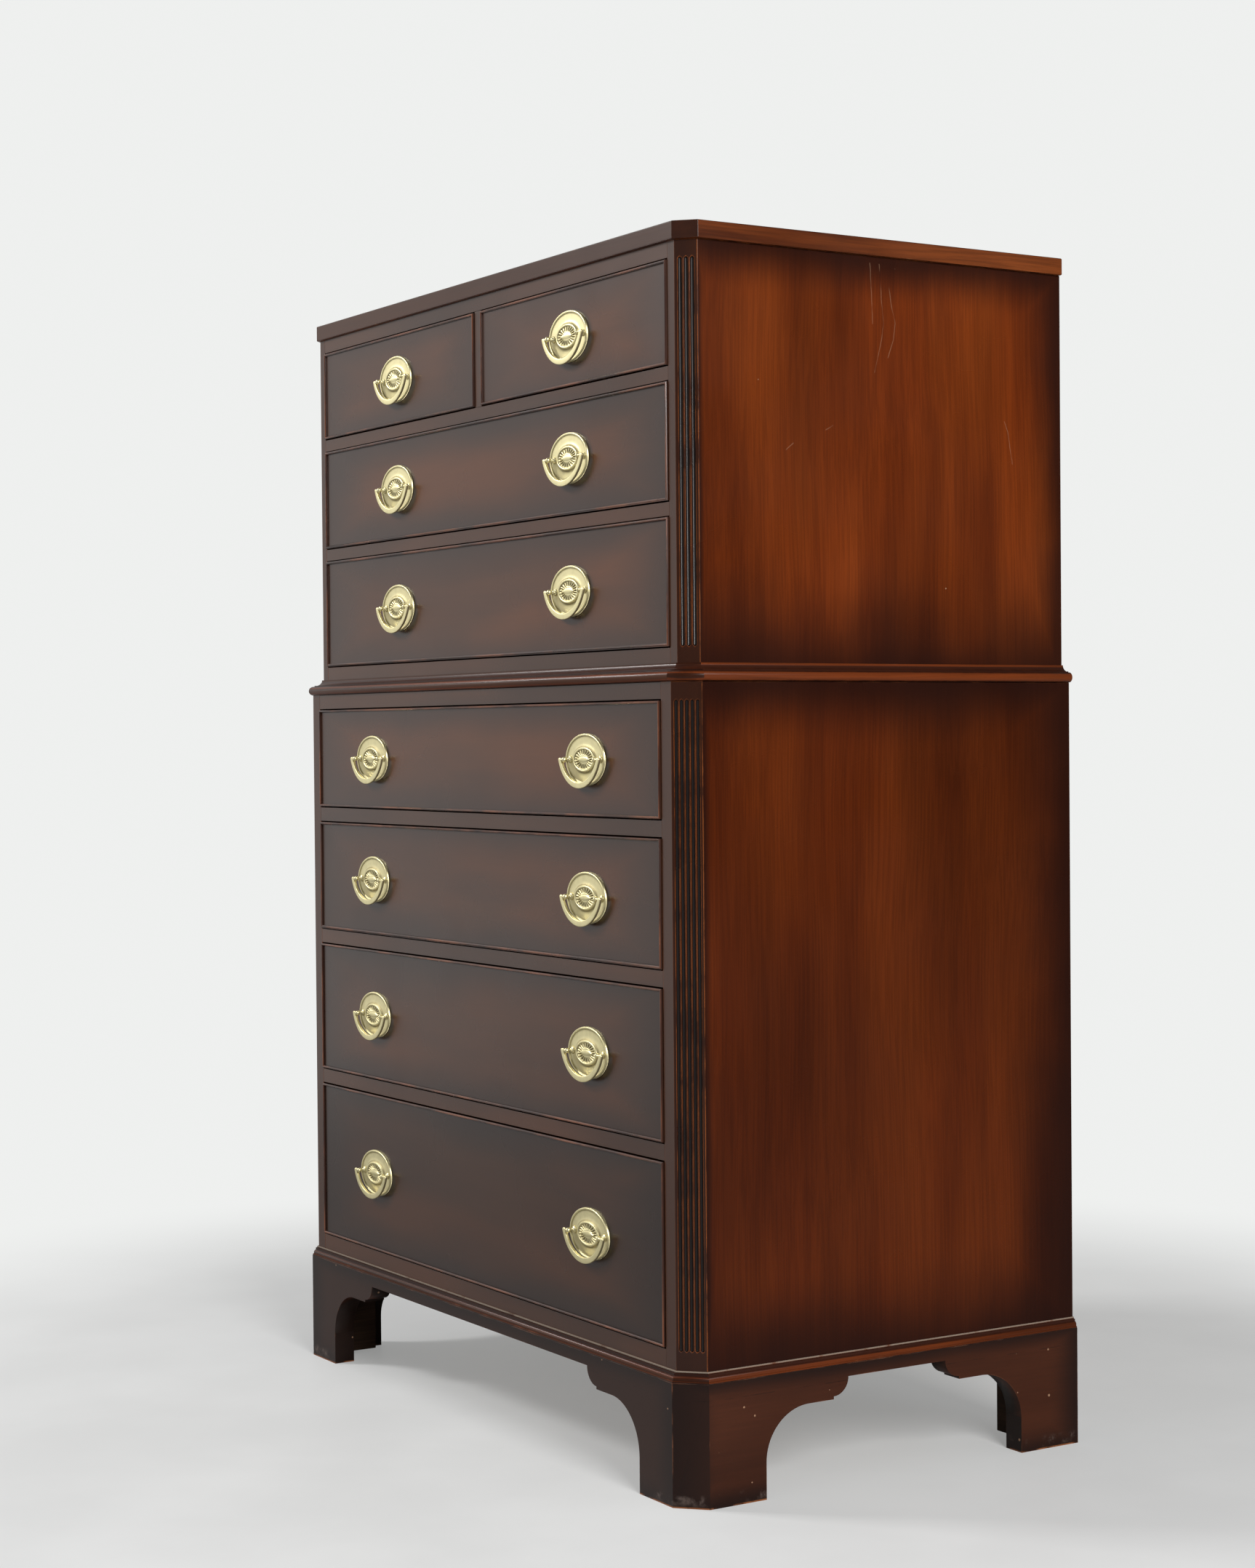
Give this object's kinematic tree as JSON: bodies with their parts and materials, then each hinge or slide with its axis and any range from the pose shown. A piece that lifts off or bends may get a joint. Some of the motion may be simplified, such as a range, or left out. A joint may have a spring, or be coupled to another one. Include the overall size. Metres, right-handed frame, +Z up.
{
  "type": "chest on chest",
  "caption": "Two-stage chest of drawers with canted fluted corners, moulded waist, bracket feet, sliding drawers and hanging oval brass bail pulls.",
  "frame": {"origin": "on the floor, under the middle of the overall box, pulls included", "axes": "+X to the right as seen from the front, +Y from the front to the back, +Z up"},
  "size_m": [0.967, 0.557, 1.4],
  "materials": {
    "case_wood": "polished red-brown mahogany",
    "front_wood": "polished dark mahogany",
    "moulding_wood": "polished mahogany",
    "plinth_wood": "worn polished mahogany",
    "inner_wood": "bare pine and oak",
    "brass": "satin, worn"
  },
  "bodies": {
    "case": {"top_board": "case_wood", "upper_side_right": "case_wood", "upper_side_left": "case_wood", "upper_post_right": "front_wood", "upper_post_left": "front_wood", "upper_back": "inner_wood", "upper_front_rails": "front_wood", "upper_runners": "inner_wood", "lower_side_right": "case_wood", "lower_side_left": "case_wood", "lower_post_right": "front_wood", "lower_post_left": "front_wood", "lower_back": "inner_wood", "lower_front_rails": "front_wood", "lower_runners": "inner_wood", "carcase_boards": "inner_wood", "waist_moulding": "moulding_wood", "base_moulding": "moulding_wood", "plinth_front": "plinth_wood", "plinth_right": "plinth_wood", "plinth_left": "plinth_wood", "rear_feet_and_blocks": "inner_wood"},
    "small_drawer_left": {"small_drawer_left_front": "front_wood", "small_drawer_left_box": "inner_wood", "small_drawer_left_plates": "brass"},
    "small_drawer_left_bail": {"small_drawer_left_bail": "brass"},
    "small_drawer_right": {"small_drawer_right_front": "front_wood", "small_drawer_right_box": "inner_wood", "small_drawer_right_plates": "brass"},
    "small_drawer_right_bail": {"small_drawer_right_bail": "brass"},
    "upper_drawer_one": {"upper_drawer_one_front": "front_wood", "upper_drawer_one_box": "inner_wood", "upper_drawer_one_plates": "brass"},
    "upper_drawer_one_bail_left": {"upper_drawer_one_bail_left": "brass"},
    "upper_drawer_one_bail_right": {"upper_drawer_one_bail_right": "brass"},
    "upper_drawer_two": {"upper_drawer_two_front": "front_wood", "upper_drawer_two_box": "inner_wood", "upper_drawer_two_plates": "brass"},
    "upper_drawer_two_bail_left": {"upper_drawer_two_bail_left": "brass"},
    "upper_drawer_two_bail_right": {"upper_drawer_two_bail_right": "brass"},
    "lower_drawer_one": {"lower_drawer_one_front": "front_wood", "lower_drawer_one_box": "inner_wood", "lower_drawer_one_plates": "brass"},
    "lower_drawer_one_bail_left": {"lower_drawer_one_bail_left": "brass"},
    "lower_drawer_one_bail_right": {"lower_drawer_one_bail_right": "brass"},
    "lower_drawer_two": {"lower_drawer_two_front": "front_wood", "lower_drawer_two_box": "inner_wood", "lower_drawer_two_plates": "brass"},
    "lower_drawer_two_bail_left": {"lower_drawer_two_bail_left": "brass"},
    "lower_drawer_two_bail_right": {"lower_drawer_two_bail_right": "brass"},
    "lower_drawer_three": {"lower_drawer_three_front": "front_wood", "lower_drawer_three_box": "inner_wood", "lower_drawer_three_plates": "brass"},
    "lower_drawer_three_bail_left": {"lower_drawer_three_bail_left": "brass"},
    "lower_drawer_three_bail_right": {"lower_drawer_three_bail_right": "brass"},
    "lower_drawer_four": {"lower_drawer_four_front": "front_wood", "lower_drawer_four_box": "inner_wood", "lower_drawer_four_plates": "brass"},
    "lower_drawer_four_bail_left": {"lower_drawer_four_bail_left": "brass"},
    "lower_drawer_four_bail_right": {"lower_drawer_four_bail_right": "brass"}
  },
  "joints": [
    {"name": "small_drawer_left_slide", "type": "slide", "parent": "case", "child": "small_drawer_left", "axis": [0, -1, 0], "range_m": [0, 0.38]},
    {"name": "small_drawer_left_bail_swing", "type": "hinge", "parent": "small_drawer_left", "child": "small_drawer_left_bail", "pos_m": [-0.21912, -0.261, 1.30325], "axis": [-1, 0, 0], "range_deg": [0, 110]},
    {"name": "small_drawer_right_slide", "type": "slide", "parent": "case", "child": "small_drawer_right", "axis": [0, -1, 0], "range_m": [0, 0.38]},
    {"name": "small_drawer_right_bail_swing", "type": "hinge", "parent": "small_drawer_right", "child": "small_drawer_right_bail", "pos_m": [0.21912, -0.261, 1.30325], "axis": [-1, 0, 0], "range_deg": [0, 110]},
    {"name": "upper_drawer_one_slide", "type": "slide", "parent": "case", "child": "upper_drawer_one", "axis": [0, -1, 0], "range_m": [0, 0.38]},
    {"name": "upper_drawer_one_bail_left_swing", "type": "hinge", "parent": "upper_drawer_one", "child": "upper_drawer_one_bail_left", "pos_m": [-0.21801, -0.261, 1.16275], "axis": [-1, 0, 0], "range_deg": [0, 110]},
    {"name": "upper_drawer_one_bail_right_swing", "type": "hinge", "parent": "upper_drawer_one", "child": "upper_drawer_one_bail_right", "pos_m": [0.21801, -0.261, 1.16275], "axis": [-1, 0, 0], "range_deg": [0, 110]},
    {"name": "upper_drawer_two_slide", "type": "slide", "parent": "case", "child": "upper_drawer_two", "axis": [0, -1, 0], "range_m": [0, 0.38]},
    {"name": "upper_drawer_two_bail_left_swing", "type": "hinge", "parent": "upper_drawer_two", "child": "upper_drawer_two_bail_left", "pos_m": [-0.21801, -0.261, 1.009], "axis": [-1, 0, 0], "range_deg": [0, 110]},
    {"name": "upper_drawer_two_bail_right_swing", "type": "hinge", "parent": "upper_drawer_two", "child": "upper_drawer_two_bail_right", "pos_m": [0.21801, -0.261, 1.009], "axis": [-1, 0, 0], "range_deg": [0, 110]},
    {"name": "lower_drawer_one_slide", "type": "slide", "parent": "case", "child": "lower_drawer_one", "axis": [0, -1, 0], "range_m": [0, 0.38]},
    {"name": "lower_drawer_one_bail_left_swing", "type": "hinge", "parent": "lower_drawer_one", "child": "lower_drawer_one_bail_left", "pos_m": [-0.271, -0.274, 0.81425], "axis": [-1, 0, 0], "range_deg": [0, 110]},
    {"name": "lower_drawer_one_bail_right_swing", "type": "hinge", "parent": "lower_drawer_one", "child": "lower_drawer_one_bail_right", "pos_m": [0.271, -0.274, 0.81425], "axis": [-1, 0, 0], "range_deg": [0, 110]},
    {"name": "lower_drawer_two_slide", "type": "slide", "parent": "case", "child": "lower_drawer_two", "axis": [0, -1, 0], "range_m": [0, 0.38]},
    {"name": "lower_drawer_two_bail_left_swing", "type": "hinge", "parent": "lower_drawer_two", "child": "lower_drawer_two_bail_left", "pos_m": [-0.271, -0.274, 0.6565], "axis": [-1, 0, 0], "range_deg": [0, 110]},
    {"name": "lower_drawer_two_bail_right_swing", "type": "hinge", "parent": "lower_drawer_two", "child": "lower_drawer_two_bail_right", "pos_m": [0.271, -0.274, 0.6565], "axis": [-1, 0, 0], "range_deg": [0, 110]},
    {"name": "lower_drawer_three_slide", "type": "slide", "parent": "case", "child": "lower_drawer_three", "axis": [0, -1, 0], "range_m": [0, 0.38]},
    {"name": "lower_drawer_three_bail_left_swing", "type": "hinge", "parent": "lower_drawer_three", "child": "lower_drawer_three_bail_left", "pos_m": [-0.271, -0.274, 0.47925], "axis": [-1, 0, 0], "range_deg": [0, 110]},
    {"name": "lower_drawer_three_bail_right_swing", "type": "hinge", "parent": "lower_drawer_three", "child": "lower_drawer_three_bail_right", "pos_m": [0.271, -0.274, 0.47925], "axis": [-1, 0, 0], "range_deg": [0, 110]},
    {"name": "lower_drawer_four_slide", "type": "slide", "parent": "case", "child": "lower_drawer_four", "axis": [0, -1, 0], "range_m": [0, 0.38]},
    {"name": "lower_drawer_four_bail_left_swing", "type": "hinge", "parent": "lower_drawer_four", "child": "lower_drawer_four_bail_left", "pos_m": [-0.271, -0.274, 0.27175], "axis": [-1, 0, 0], "range_deg": [0, 110]},
    {"name": "lower_drawer_four_bail_right_swing", "type": "hinge", "parent": "lower_drawer_four", "child": "lower_drawer_four_bail_right", "pos_m": [0.271, -0.274, 0.27175], "axis": [-1, 0, 0], "range_deg": [0, 110]}
  ]
}
